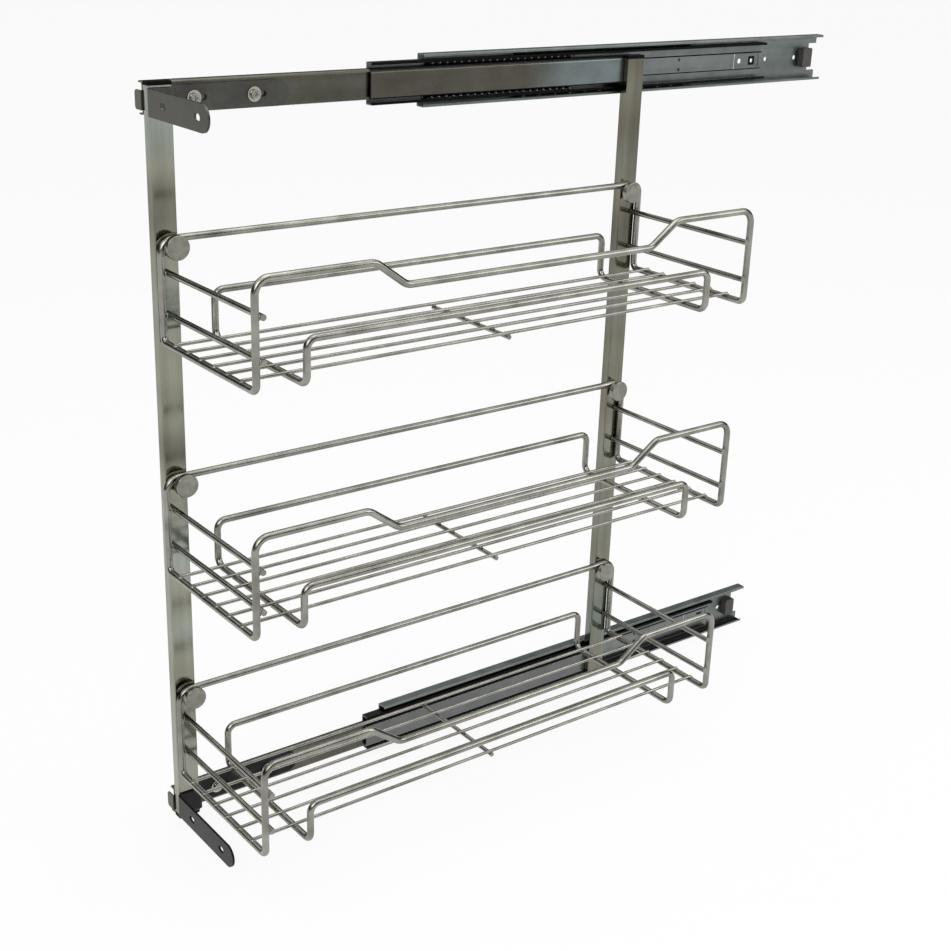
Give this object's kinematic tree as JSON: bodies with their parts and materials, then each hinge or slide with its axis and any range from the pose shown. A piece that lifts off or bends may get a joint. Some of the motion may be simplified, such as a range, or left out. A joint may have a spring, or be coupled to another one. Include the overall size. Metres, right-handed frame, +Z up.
{
  "type": "pull-out spice rack",
  "caption": "Pull-out spice rack with wire baskets hung on a tubular side frame, on side-mounted telescopic ball-bearing slides, with door brackets.",
  "frame": {"origin": "midway between the end screw holes of the bottom cabinet rail, on the face that lies on the cabinet's side wall", "axes": "+Z up; +Y into the cabinet's side wall; +X into the cabinet, so the rack pulls out towards -X"},
  "size_m": [0.775, 0.1808, 0.671],
  "materials": {
    "zinc_rail": "zinc-plated folded steel, dull",
    "bright_tube": "bright plated tube, mirror-like",
    "bright_wire": "bright plated wire, mirror-like",
    "satin_knob": "satin plated turned metal",
    "ball_steel": "polished steel balls",
    "cage_strip": "thin bright strip",
    "black_plastic": "black moulded plastic",
    "grey_plastic": "dark grey moulded plastic",
    "grey_bracket": "grey plated steel strip, satin",
    "dark_bracket": "dark finished steel strip",
    "screw_steel": "zinc-plated screws"
  },
  "bodies": {
    "cabinet_rails": {"bottom_cabinet_rail": "zinc_rail", "top_cabinet_rail": "zinc_rail", "rail_bumpers": "grey_plastic"},
    "top_intermediate": {"top_intermediate_rail": "zinc_rail"},
    "bottom_intermediate": {"bottom_intermediate_rail": "zinc_rail"},
    "top_outer_race": {"top_outer_cage": "cage_strip", "top_outer_balls": "ball_steel"},
    "bottom_outer_race": {"bottom_outer_cage": "cage_strip", "bottom_outer_balls": "ball_steel"},
    "top_inner_race": {"top_inner_cage": "cage_strip", "top_inner_balls": "ball_steel"},
    "bottom_inner_race": {"bottom_inner_cage": "cage_strip", "bottom_inner_balls": "ball_steel"},
    "rack": {"top_drawer_rail": "zinc_rail", "bottom_drawer_rail": "zinc_rail", "rail_end_stops": "black_plastic", "front_upright": "bright_tube", "rear_upright": "bright_tube", "upright_caps": "black_plastic", "top_stiffener": "zinc_rail", "bottom_stiffener": "zinc_rail", "top_door_bracket": "grey_bracket", "bottom_door_bracket": "dark_bracket", "bracket_washers": "screw_steel", "bracket_screws": "screw_steel", "carrier_screws": "screw_steel", "bottom_basket_frame": "bright_wire", "bottom_basket_fence": "bright_wire", "bottom_end_bars": "bright_wire", "bottom_floor_wires": "bright_wire", "bottom_cross_wire": "bright_wire", "bottom_knobs": "satin_knob", "middle_basket_frame": "bright_wire", "middle_basket_fence": "bright_wire", "middle_end_bars": "bright_wire", "middle_floor_wires": "bright_wire", "middle_cross_wire": "bright_wire", "middle_knobs": "satin_knob", "top_basket_frame": "bright_wire", "top_basket_fence": "bright_wire", "top_end_bars": "bright_wire", "top_floor_wires": "bright_wire", "top_cross_wire": "bright_wire", "top_knobs": "satin_knob"}
  },
  "joints": [
    {"name": "top_intermediate_slide", "type": "slide", "parent": "cabinet_rails", "child": "top_intermediate", "axis": [-1, 0, 0], "range_m": [-0.021, 0.196]},
    {"name": "bottom_intermediate_slide", "type": "slide", "parent": "cabinet_rails", "child": "bottom_intermediate", "axis": [-1, 0, 0], "range_m": [-0.021, 0.196]},
    {"name": "rack_slide", "type": "slide", "parent": "top_intermediate", "child": "rack", "axis": [-1, 0, 0], "range_m": [-0.209, 0.045]},
    {"name": "top_outer_race_slide", "type": "slide", "parent": "cabinet_rails", "child": "top_outer_race", "axis": [-1, 0, 0], "range_m": [-0.0105, 0.098]},
    {"name": "bottom_outer_race_slide", "type": "slide", "parent": "cabinet_rails", "child": "bottom_outer_race", "axis": [-1, 0, 0], "range_m": [-0.0105, 0.098]},
    {"name": "top_inner_race_slide", "type": "slide", "parent": "top_intermediate", "child": "top_inner_race", "axis": [-1, 0, 0], "range_m": [-0.1045, 0.0225]},
    {"name": "bottom_inner_race_slide", "type": "slide", "parent": "bottom_intermediate", "child": "bottom_inner_race", "axis": [-1, 0, 0], "range_m": [-0.1045, 0.0225]}
  ],
  "couplings": [
    {"joint": "bottom_intermediate_slide", "follows": "top_intermediate_slide", "ratio": 1},
    {"joint": "top_outer_race_slide", "follows": "top_intermediate_slide", "ratio": 0.5},
    {"joint": "bottom_outer_race_slide", "follows": "top_intermediate_slide", "ratio": 0.5},
    {"joint": "top_inner_race_slide", "follows": "rack_slide", "ratio": 0.5},
    {"joint": "bottom_inner_race_slide", "follows": "rack_slide", "ratio": 0.5}
  ]
}
